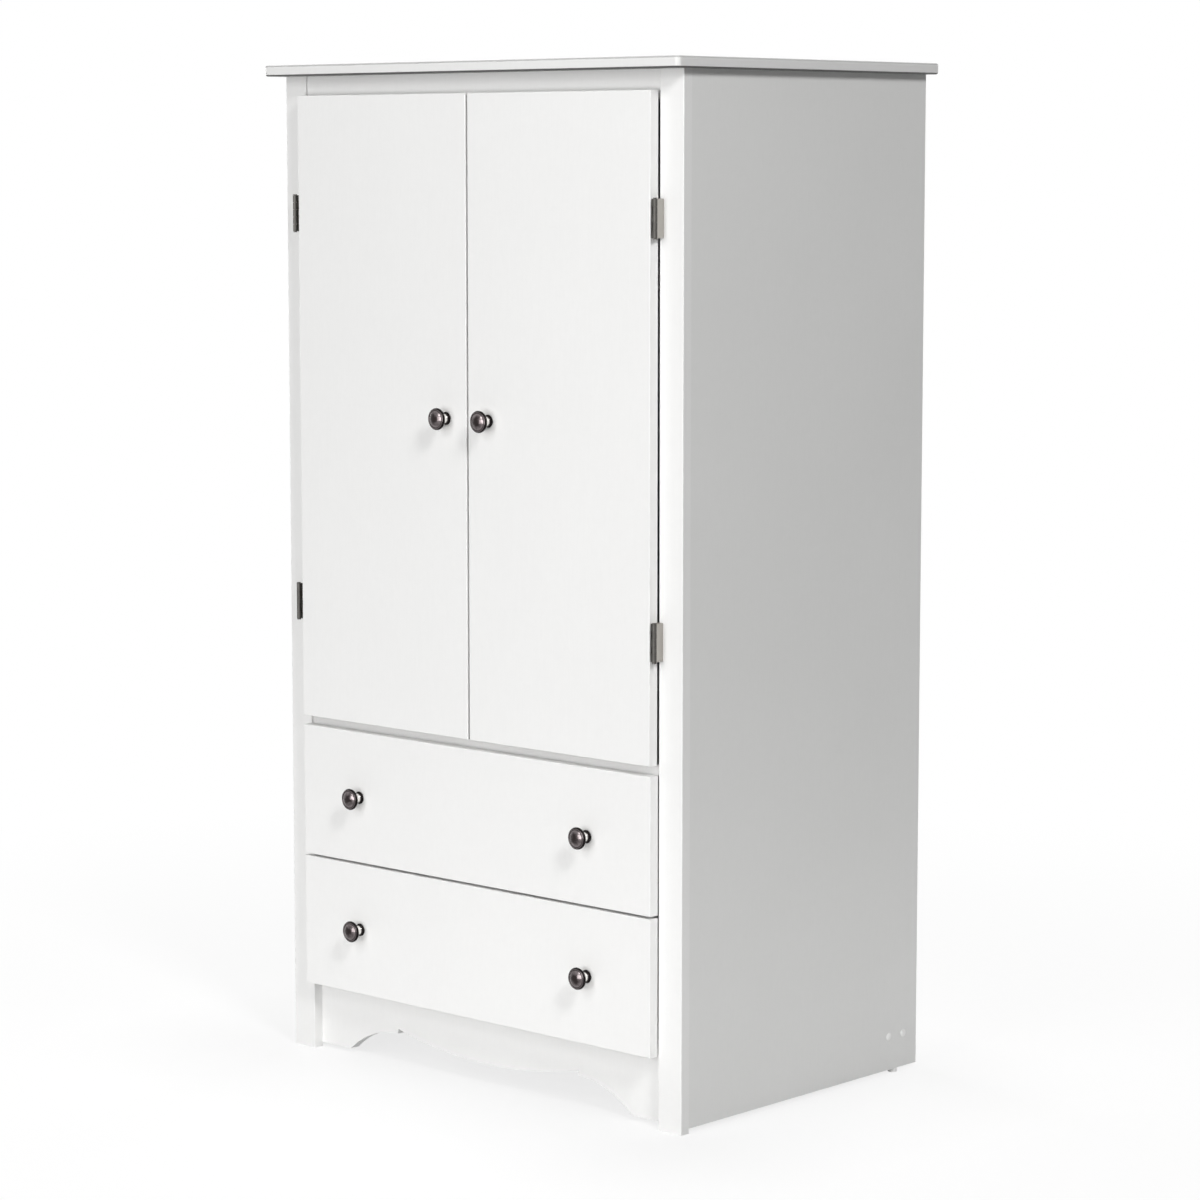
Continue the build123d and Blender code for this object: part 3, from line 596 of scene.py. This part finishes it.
@dataclass(frozen=True)
class DrawnMetal(Finish):
    """Plated or bare metal with fine drawn or brushed lines."""

    run: Run = Run.UPRIGHT
    line_scale: float = 2200.0
    dullness: float = 0.8
    smooth_share: float = 0.75
    rough_share: float = 1.4
    line_depth: float = 0.00002
    line_tilt: float = 0.2

    def lay(self, coating: Coating) -> None:
        """Draws the lines into tone, gloss and relief.

        Args:
            coating: The material in the making.
        """
        coating.plate()
        desk, level = coating.desk, self.gloss.value
        span = {"Smooth": level * self.smooth_share, "Rough": level * self.rough_share}
        run = {"Stretch": self.run.value, "Scale": self.line_scale}
        lines = coating.effect(coating.effects.drawn_lines, run | span).outputs
        desk.feed(coating.shader, {"Roughness": lines["Roughness"]})
        tone = desk.blend(lines["Height"], opaque(self.colour, self.dullness), opaque(self.colour))
        coating.paint(self.paint_shade(coating, tone))
        coating.raise_skin(lines["Height"], self.line_depth, self.line_tilt)

    def paint_shade(self, coating: Coating, tone: Socket) -> Socket:
        """Leaves the tone as it is, where a finish has no painted shade of its own."""
        return tone


@dataclass(frozen=True)
class HingeNickel(DrawnMetal):
    """Brushed nickel with painted shade and dark reflection over the barrel's front."""

    barrel_y: float = 0.0
    barrel_reach: float = 0.0066
    barrel_fade: float = 0.00066
    painted_shade_share: float = 0.2

    def paint_shade(self, coating: Coating, tone: Socket) -> Socket:
        """Paints shade and dark reflection over the barrel.

        Args:
            coating: The material in the making.
            tone: The brushed tone.

        Returns:
            The tone with the painted shade on its barrel.
        """
        desk = coating.desk
        # Painted shade and dark reflection: dark within the barrel's reach behind its front, full tone
        # beyond.
        past = desk.maths("SUBTRACT", coating.along("Y"), self.barrel_y)
        edge = (self.barrel_reach - self.barrel_fade, self.barrel_reach)
        bright = desk.spread(past, edge, self.painted_shade_share, 1.0)
        return desk.blend(bright, opaque(self.colour, 0.0), tone)


@dataclass(frozen=True)
class TurnedPewter(Finish):
    """Dark pewter on a turned knob with painted reflections: dark foot and rim, a bright painted reflection
    on the waist, and a face with a dark painted reflection in the middle and a lighter painted reflection
    ring round it.
    """

    face_y: float = 0.0
    length: float = 0.026
    axis_x: float = 0.0
    axis_z: float = 0.0
    # The waist's colour is a painted reflection of the white door.
    waist: Colour = (0.9, 0.88, 0.85)
    dark: Colour = (0.014, 0.012, 0.012)
    # Painted reflection: the lighter ring on the face.
    reflection_ring_tone: Colour = (0.2, 0.175, 0.178)
    foot_end: float = 0.15
    waist_span: Span = (0.22, 0.63)
    cup_start: float = 0.7
    face_span: Span = (0.85, 0.875)
    ring_span: Span = (0.002, 0.0095)
    ring_wander: float = 0.005
    patch_scale: float = 210.0

    def lay(self, coating: Coating) -> None:
        """Colours the turned zones by their distance from the panel, and the face by its radius.

        Args:
            coating: The material in the making.
        """
        coating.plate()
        desk = coating.desk
        out = desk.maths("SUBTRACT", self.face_y, coating.along("Y"))
        reach = desk.maths("DIVIDE", out, self.length, clamp=True)
        mask = coating.dull(self.gloss, self.patch_scale)
        # The dark foot and cup are the dark metal deepened by painted dark reflection; the bright waist is a
        # painted reflection.
        zones = [
            (0.0, self.dark),
            (self.foot_end, self.dark),
            (self.waist_span[0], self.waist),
            (self.waist_span[1], self.waist),
            (self.cup_start, self.dark),
        ]
        sides = desk.ramp(reach, [(place, opaque(colour)) for place, colour in zones])
        front = desk.spread(reach, self.face_span, *UNIT)
        coating.paint(desk.blend(front, sides, self.face(coating, mask)))

    def face(self, coating: Coating, mask: Socket) -> Socket:
        """Paints a lighter reflection ring, with a mottled edge, round the dark painted reflection in the
        middle of the face.

        Args:
            coating: The material in the making.
            mask: The patches that set the ring's ragged edge.

        Returns:
            The face's colour.
        """
        desk = coating.desk
        aside = desk.maths("SUBTRACT", desk.maths("ABSOLUTE", coating.along("X")), self.axis_x)
        above = desk.maths("SUBTRACT", coating.along("Z"), self.axis_z)
        squares = desk.maths("ADD", desk.maths("POWER", aside, 2.0), desk.maths("POWER", above, 2.0))
        wander = desk.maths("MULTIPLY", mask, self.ring_wander)
        radius = desk.maths("SUBTRACT", desk.maths("SQRT", squares), wander)
        ring = desk.spread(radius, self.ring_span, *UNIT)
        return desk.blend(ring, opaque(self.colour), opaque(self.reflection_ring_tone))


@dataclass(frozen=True)
class Moulded(Finish):
    """Moulded plastic or powder coat."""

    shade: float = 0.94
    cloud_scale: float = 40.0
    patch_scale: float = 60.0
    skin_scale: float = 1500.0
    skin_depth: float = 0.00003
    skin_tilt: float = 0.25

    def lay(self, coating: Coating) -> None:
        """Clouds the tone and dimples the skin.

        Args:
            coating: The material in the making.
        """
        tones = {"Tone": opaque(self.colour), "Shade": opaque(self.colour, self.shade)}
        tone = coating.effect(coating.effects.clouding, tones | {"Scale": self.cloud_scale})
        coating.paint(tone.outputs["Color"])
        coating.dull(self.gloss, self.patch_scale)
        skin = coating.effect(coating.effects.dimple, {"Scale": self.skin_scale})
        coating.raise_skin(skin.outputs["Height"], self.skin_depth, self.skin_tilt)


@dataclass(frozen=True)
class RawWood(Finish):
    """Bare hardwood, as in glued dowels."""

    late: Colour = (0.36, 0.22, 0.12)
    run: Run = Run.ACROSS
    grain_scale: float = 900.0
    grain_depth: float = 0.00008
    grain_tilt: float = 0.35
    patch_scale: float = 90.0

    def lay(self, coating: Coating) -> None:
        """Draws the grain along the piece.

        Args:
            coating: The material in the making.
        """
        run = {"Stretch": self.run.value, "Scale": self.grain_scale}
        tints = {"Light": opaque(self.colour), "Dark": opaque(self.late)}
        grain = coating.effect(coating.effects.fibres, run | tints)
        coating.paint(grain.outputs["Color"])
        coating.dull(self.gloss, self.patch_scale)
        coating.raise_skin(grain.outputs["Height"], self.grain_depth, self.grain_tilt)


class PaintShop:
    """Makes each finish's material once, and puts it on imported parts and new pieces."""

    board = Laminate("white_laminate", (0.86, 0.858, 0.85), Gloss.SATIN)
    # A darker copy of the white laminate for the sides and the stretcher, as painted shade.
    shaded_side_board = Laminate("side_laminate_shaded", (0.815, 0.816, 0.805), Gloss.EGGSHELL)
    foil = Laminate("drawer_foil", (0.81, 0.81, 0.8), Gloss.EGGSHELL, shade=0.95)
    sheet = Hardboard("painted_hardboard", (0.78, 0.78, 0.77), Gloss.MATT)
    zinc = DrawnMetal("zinc_plating", (0.56, 0.57, 0.59), Gloss.PLATED, run=Run.ACROSS)
    cast = DrawnMetal("cast_zinc", (0.42, 0.42, 0.42), Gloss.SATIN, run=Run.DEEP, dullness=0.6)
    chrome = DrawnMetal("chromed_tube", (0.72, 0.73, 0.74), Gloss.POLISHED, run=Run.ACROSS, dullness=0.92)
    ferrite = DrawnMetal("ferrite", (0.05, 0.05, 0.052), Gloss.EGGSHELL, run=Run.ACROSS)
    coat = Moulded("powder_coat", (0.8, 0.8, 0.79), Gloss.SATIN)
    plastic = Moulded("white_plastic", (0.93, 0.93, 0.92), Gloss.PLATED)
    nylon = Moulded("natural_nylon", (0.74, 0.73, 0.69), Gloss.SATIN)
    beech = RawWood("bare_beech", (0.55, 0.37, 0.21), Gloss.MATT)

    def __init__(self) -> None:
        """Builds the shared effects."""
        self.effects = Effects()
        self.made: dict[str, Material] = {}

    def material(self, finish: Finish) -> Material:
        """A finish's material, made the first time it is asked for.

        Args:
            finish: The finish.

        Returns:
            Its material.
        """
        if finish.name not in self.made:
            self.made[finish.name] = finish.make(self.effects)
        return self.made[finish.name]

    def coat_parts(self, finish: Finish, *parts: str) -> None:
        """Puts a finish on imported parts.

        Args:
            finish: The finish.
            parts: The parts' names.
        """
        for part in parts:
            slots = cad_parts[part].data.materials
            for index in range(len(slots)):
                slots[index] = self.material(finish)
            log.info("%s: %s", part, finish.name)


@dataclass
class Lathe:
    """Turns outlines into round pieces."""

    steps: int = 32
    weld: float = 1e-6
    rounding: int = 2

    def turn(self, outline: Outline, stands: list[tuple[Point, Point]]) -> Mesh:
        """Turns one shape at several places.

        Args:
            outline: Radius and reach of each point, from the panel outwards.
            stands: The points of the panel that the axes pass through, each with the way out of the panel.

        Returns:
            The mesh.
        """
        shape = bmesh.new()
        for spot, out in stands:
            foot, axis = Vector(spot), Vector(out)
            points = [foot + axis * reach + Vector((0, 0, radius)) for radius, reach in outline]
            line = [shape.verts.new(point) for point in points]
            edges = [shape.edges.new(pair) for pair in zip(line, line[1:])]
            turn = {"cent": foot, "axis": axis, "angle": 2 * math.pi, "steps": self.steps}
            bmesh.ops.spin(shape, geom=[*line, *edges], use_merge=True, **turn)
        bmesh.ops.remove_doubles(shape, verts=shape.verts, dist=self.weld)
        bmesh.ops.recalc_face_normals(shape, faces=shape.faces)
        for face in shape.faces:
            face.smooth = True
        mesh = bpy.data.meshes.new("turned")
        shape.to_mesh(mesh)
        shape.free()
        return mesh

    def finish(self, name: str, mesh: Mesh, material: Material, part: str, body: str, slot: str) -> None:
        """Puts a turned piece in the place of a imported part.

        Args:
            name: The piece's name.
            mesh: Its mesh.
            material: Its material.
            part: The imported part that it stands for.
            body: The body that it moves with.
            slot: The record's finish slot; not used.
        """
        mesh.materials.append(material)
        piece = stand(name, mesh)
        rounding = piece.modifiers.new("rounding", "SUBSURF")
        rounding.levels = rounding.render_levels = self.rounding
        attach(piece, body)
        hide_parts(part)
        log.info("%s: turned in place of %s", name, part)


@dataclass
class Knob:
    """A turned mushroom knob: flared foot, thin waist, cupped back, rounded rim and a low domed face."""

    # The face's middle: dark pewter deepened by a painted dark reflection.
    centre: Colour = (0.034, 0.027, 0.027)
    # Radius of each point and its reach from the panel, zone by zone.
    foot: Outline = ((0.0, 0.0), (0.0096, 0.0), (0.0096, 0.00144), (0.00845, 0.00234))
    waist: Outline = ((0.0065, 0.00396), (0.0052, 0.0088), (0.00666, 0.01188), (0.01014, 0.01514))
    cup: Outline = ((0.0136, 0.0172), (0.0157, 0.0178))
    rim: Outline = ((0.0161, 0.0199), (0.01546, 0.02188), (0.0136, 0.0226))
    groove: Outline = ((0.01299, 0.0226), (0.01257, 0.0219), (0.0122, 0.02232))
    dome: Outline = ((0.01, 0.02373), (0.00549, 0.02558), (0.00146, 0.026), (0.0, 0.026))

    @property
    def radius(self) -> float:
        """The rim's radius."""
        return max(radius for radius, _ in self.rim)

    @property
    def length(self) -> float:
        """How far the knob stands out from its panel."""
        return self.dome[-1][1]

    def fit(self, shop: PaintShop, spots: list[Point], part: str, body: str) -> None:
        """Turns knobs and fits them.

        Args:
            shop: The paint shop.
            spots: Where the knobs stand on the panel.
            part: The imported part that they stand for.
            body: The body that they move with.
        """
        aside, face_y, above = spots[-1]
        place = {"face_y": face_y, "length": self.length, "axis_x": abs(aside), "axis_z": above}
        pewter = TurnedPewter(f"{part}_pewter", self.centre, Gloss.POLISHED, **place)
        outline = self.foot + self.waist + self.cup + self.rim + self.groove + self.dome
        lathe = Lathe()
        mesh = lathe.turn(outline, [(spot, FORWARD) for spot in spots])
        lathe.finish(f"{part}_turned", mesh, shop.material(pewter), part, body, "dark_pewter")


@dataclass
class Carcass:
    """Top, sides, front frame, shelf and back, with the glides and the domed caps on the sides."""

    cap_radius: float = 0.006
    cap_steps: int = 24
    # The caps' outline, in shares of their radius and rise.
    cap_edge: Outline = ((0.0, 0.0), (1.0, 0.0), (0.99, 0.24))
    cap_dome: Outline = ((0.8, 0.62), (0.45, 0.92), (0.12, 1.0), (0.0, 1.0))

    def dress(self, shop: PaintShop) -> None:
        """Coats the boards and the glides, and sets the caps.

        Args:
            shop: The paint shop.
        """
        low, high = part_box("top_panel")
        place = {"under_z": low[2], "thickness": high[2] - low[2]}
        edged = TopLaminate("top_laminate", shop.board.colour, shop.board.gloss, **place)
        shop.coat_parts(edged, "top_panel")
        shop.coat_parts(shop.board, "left_stile", "right_stile", "top_rail", "base_rail", "fixed_shelf")
        # The sides and the stretcher take the darker laminate copy, a painted shade.
        shop.coat_parts(shop.shaded_side_board, "left_side_panel", "right_side_panel", "rear_stretcher")
        shop.coat_parts(shop.sheet, "upper_back_panel", "lower_back_panel")
        shop.coat_parts(shop.plastic, "rear_glides")
        self.set_caps(shop)

    def set_caps(self, shop: PaintShop) -> None:
        """Turns the domed caps that cover the screws in the sides.

        Args:
            shop: The paint shop.
        """
        low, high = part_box("side_cover_caps")
        face_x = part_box("right_side_panel")[1][0]
        radius, rise = self.cap_radius, high[0] - face_x
        outline = tuple((radius * across, rise * out) for across, out in self.cap_edge + self.cap_dome)
        middle = (low[2] + high[2]) / 2
        stands = [
            ((hand.value * face_x, y, middle), (float(hand.value), 0.0, 0.0))
            for hand in Hand
            for y in (low[1] + radius, high[1] - radius)
        ]
        lathe = Lathe(steps=self.cap_steps)
        mesh, material = lathe.turn(outline, stands), shop.material(shop.plastic)
        lathe.finish("side_caps_domed", mesh, material, "side_cover_caps", "cabinet", "white_plastic")


@dataclass
class Joinery:
    """The fittings and fasteners that hold the carcass."""

    def dress(self, shop: PaintShop) -> None:
        """Coats the fittings.

        Args:
            shop: The paint shop.
        """
        shop.coat_parts(shop.cast, "cam_locks")
        shop.coat_parts(shop.zinc, "cam_bolts", "stretcher_screws", "back_nails", "cabinet_screws")
        shop.coat_parts(shop.beech, "frame_dowels")


@dataclass
class Wardrobe:
    """The space behind the doors."""

    def dress(self, shop: PaintShop) -> None:
        """Coats the shelf, the rod and the catches.

        Args:
            shop: The paint shop.
        """
        shop.coat_parts(shop.board, "adjustable_shelf")
        shop.coat_parts(shop.zinc, "shelf_pins")
        shop.coat_parts(shop.chrome, "hanging_rod", "rod_sockets")
        shop.coat_parts(shop.plastic, "door_catches")
        shop.coat_parts(shop.ferrite, "catch_magnets")


@dataclass
class Door:
    """One door with its knob and its strike."""

    hand: Hand

    def dress(self, shop: PaintShop) -> None:
        """Coats the door and fits its knob.

        Args:
            shop: The paint shop.
        """
        name = f"{self.hand.word}_door"
        shop.coat_parts(shop.board, name)
        shop.coat_parts(shop.zinc, f"{name}_strike", f"{name}_screws")
        low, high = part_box(f"{name}_knob")
        spot = ((low[0] + high[0]) / 2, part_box(name)[0][1], (low[2] + high[2]) / 2)
        Knob().fit(shop, [spot], f"{name}_knob", f"{name}_leaf")


@dataclass
class Hinges:
    """The leaves on the doors and on the front frame, and the pins."""

    metal: Colour = (0.5, 0.48, 0.45)

    def dress(self, shop: PaintShop) -> None:
        """Coats the leaves and pins.

        Args:
            shop: The paint shop.
        """
        barrel_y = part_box("hinge_frame_leaves")[0][1]
        nickel = HingeNickel("hinge_nickel", self.metal, Gloss.EGGSHELL, barrel_y=barrel_y)
        leaves = [f"{hand.word}_door_hinge_leaves" for hand in Hand]
        shop.coat_parts(nickel, *leaves, "hinge_frame_leaves", "hinge_pins")


@dataclass
class Drawer:
    """One drawer with its knobs and its half of the runners."""

    level: Level

    def dress(self, shop: PaintShop) -> None:
        """Coats the drawer and fits its knobs.

        Args:
            shop: The paint shop.
        """
        name = f"{self.level.value}_drawer"
        shop.coat_parts(shop.board, f"{name}_front")
        shop.coat_parts(shop.foil, f"{name}_left_side", f"{name}_right_side", f"{name}_back")
        shop.coat_parts(shop.sheet, f"{name}_bottom")
        shop.coat_parts(shop.zinc, f"{name}_screws")
        shop.coat_parts(shop.coat, f"{name}_slides")
        shop.coat_parts(shop.nylon, f"{name}_rollers", f"{self.level.value}_cabinet_rollers")
        knob = Knob()
        low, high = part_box(f"{name}_knobs")
        face_y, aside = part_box(f"{name}_front")[0][1], high[0] - knob.radius
        spots = [(hand.value * aside, face_y, (low[2] + high[2]) / 2) for hand in Hand]
        knob.fit(shop, spots, f"{name}_knobs", name)


@dataclass
class Runners:
    """The cabinet's half of the drawer runners."""

    def dress(self, shop: PaintShop) -> None:
        """Coats the channels and the cleats.

        Args:
            shop: The paint shop.
        """
        shop.coat_parts(shop.coat, "cabinet_slides")
        shop.coat_parts(shop.foil, "left_slide_cleats", "right_slide_cleats")


@dataclass(frozen=True)
class Softbox:
    """A large soft lamp."""

    name: str
    at: Point
    aim: Point
    size: Span
    watts: float

    def hang(self) -> None:
        """Hangs the lamp."""
        data = bpy.data.lights.new(self.name, "AREA")
        data.shape = "RECTANGLE"
        data.size, data.size_y = self.size
        data.energy = self.watts
        lamp = stand(self.name, data)
        lamp.location = self.at
        lamp.rotation_euler = (Vector(self.aim) - Vector(self.at)).to_track_quat("-Z", "Y").to_euler()
        log.info("%s: %.0f W", self.name, self.watts)


@dataclass
class Studio:
    """A pale floor in a white surround, soft lamps and the camera."""

    lens: float = 109.08
    sensor: float = 36.0
    camera_at: Point = (3.638, -3.9312, 1.3434)
    heading: float = 42.673
    pitch: float = 83.081
    floor_half: float = 40.0
    floor_tone: float = 0.8
    far_tone: float = 0.14
    tone_fade: Span = (0.9, 2.4)
    seen_tone: float = 0.97
    shadow_share: float = 0.22
    shadow_fade: Span = (0.7, 2.2)
    ambient: float = 0.04
    lamps: tuple[Softbox, ...] = (
        Softbox("front_softbox", at=(0.6, -4.8, 1.0), aim=(0.0, -0.25, 0.7), size=(3.0, 2.2), watts=118.0),
        Softbox("high_softbox", at=(0.2, -3.6, 2.8), aim=(0.0, -0.25, 0.4), size=(1.4, 1.2), watts=30.0),
        Softbox("corner_softbox", at=(4.1, -2.1, 3.9), aim=(0.3, -0.2, 0.6), size=(0.9, 1.2), watts=140.0),
        Softbox("floor_softbox", at=(0.0, 0.15, 5.0), aim=(0.0, 0.15, 0.0), size=(0.6, 0.6), watts=60.0),
        Softbox("rear_softbox", at=(-0.8, 4.8, 1.2), aim=(0.0, 0.25, 0.7), size=(2.6, 2.0), watts=130.0),
        Softbox("left_softbox", at=(-4.4, 0.8, 1.4), aim=(-0.4, 0.0, 0.7), size=(1.6, 1.6), watts=80.0),
    )

    def build(self) -> None:
        """Makes the floor, the surround, the lamps and the camera."""
        self.lay_floor()
        self.surround()
        for lamp in self.lamps:
            lamp.hang()
        self.set_camera()

    def lay_floor(self) -> None:
        """Lays the floor."""
        mesh = bpy.data.meshes.new("floor")
        shape = bmesh.new()
        bmesh.ops.create_grid(shape, x_segments=2, y_segments=2, size=self.floor_half)
        shape.to_mesh(mesh)
        shape.free()
        mesh.materials.append(self.pale_floor())
        stand("floor", mesh)
        log.info("floor: %s", mesh.materials[0].name)

    def pale_floor(self) -> Material:
        """Makes the floor's material, lit as any pale floor and seen nearly white, with the shadow kept.

        Returns:
            The material.
        """
        material = bpy.data.materials.new("pale_floor")
        material.use_nodes = True
        nodes = material.node_tree.nodes
        nodes.remove(nodes["Principled BSDF"])
        desk = NodeDesk(material.node_tree)
        place = desk.add("ShaderNodeTexCoord").outputs["Object"]
        away = desk.feed(desk.add("ShaderNodeVectorMath", operation="LENGTH"), {0: place}).outputs["Value"]
        seen = self.seen(desk)
        fade = desk.spread(away, self.tone_fade, *UNIT)
        paper = desk.blend(fade, opaque(WHITE, self.floor_tone), opaque(WHITE, self.far_tone))
        tone = desk.blend(seen, paper, opaque(WHITE, self.seen_tone))
        lit = desk.feed(desk.add("ShaderNodeBsdfDiffuse"), {"Color": tone})
        glow = desk.feed(desk.add("ShaderNodeEmission"), {"Color": opaque(WHITE), "Strength": 1.0})
        cover = desk.spread(away, self.shadow_fade, 1.0 - self.shadow_share, 1.0)
        mix = desk.add("ShaderNodeMixShader")
        desk.feed(mix, {0: desk.maths("MULTIPLY", seen, cover), 1: lit.outputs[0], 2: glow.outputs[0]})
        desk.feed(nodes["Material Output"], {"Surface": mix.outputs[0]})
        return material

    @staticmethod
    def seen(desk: NodeDesk) -> Socket:
        """Whether a ray comes from the camera, a shiny surface or a clear one.

        Args:
            desk: The desk on the tree.

        Returns:
            1 where it does, 0 elsewhere.
        """
        path = desk.add("ShaderNodeLightPath").outputs
        shiny = desk.maths("MAXIMUM", path["Is Glossy Ray"], path["Is Transmission Ray"])
        return desk.maths("MAXIMUM", path["Is Camera Ray"], shiny)

    def surround(self) -> None:
        """Sets an even white surround."""
        world = bpy.data.worlds.new("white_surround")
        bpy.context.scene.world = world
        world.use_nodes = True
        desk = NodeDesk(world.node_tree)
        strength = desk.spread(self.seen(desk), UNIT, self.ambient, 1.0)
        desk.feed(world.node_tree.nodes["Background"], {"Color": opaque(WHITE), "Strength": strength})
        log.info("surround: %s", world.name)

    def set_camera(self) -> None:
        """Sets the camera at the photograph's viewing angle."""
        data = bpy.data.cameras.new("camera")
        data.sensor_width = self.sensor
        data.lens = self.lens
        camera = stand("camera", data)
        camera.location = self.camera_at
        camera.rotation_euler = (math.radians(self.pitch), 0.0, math.radians(self.heading))
        bpy.context.scene.camera = camera
        log.info("camera: %.1f mm", self.lens)


def main() -> None:
    """Dresses the armoire and sets up the studio."""
    logging.basicConfig(level=logging.INFO, format="%(name)s %(message)s")
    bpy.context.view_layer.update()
    bpy.context.scene.view_settings.view_transform = "Standard"
    shop = PaintShop()
    doors = [Door(hand) for hand in Hand]
    drawers = [Drawer(level) for level in Level]
    for assembly in [Carcass(), Joinery(), Wardrobe(), *doors, Hinges(), *drawers, Runners()]:
        assembly.dress(shop)
    Studio().build()


if __name__ == "__main__":
    main()
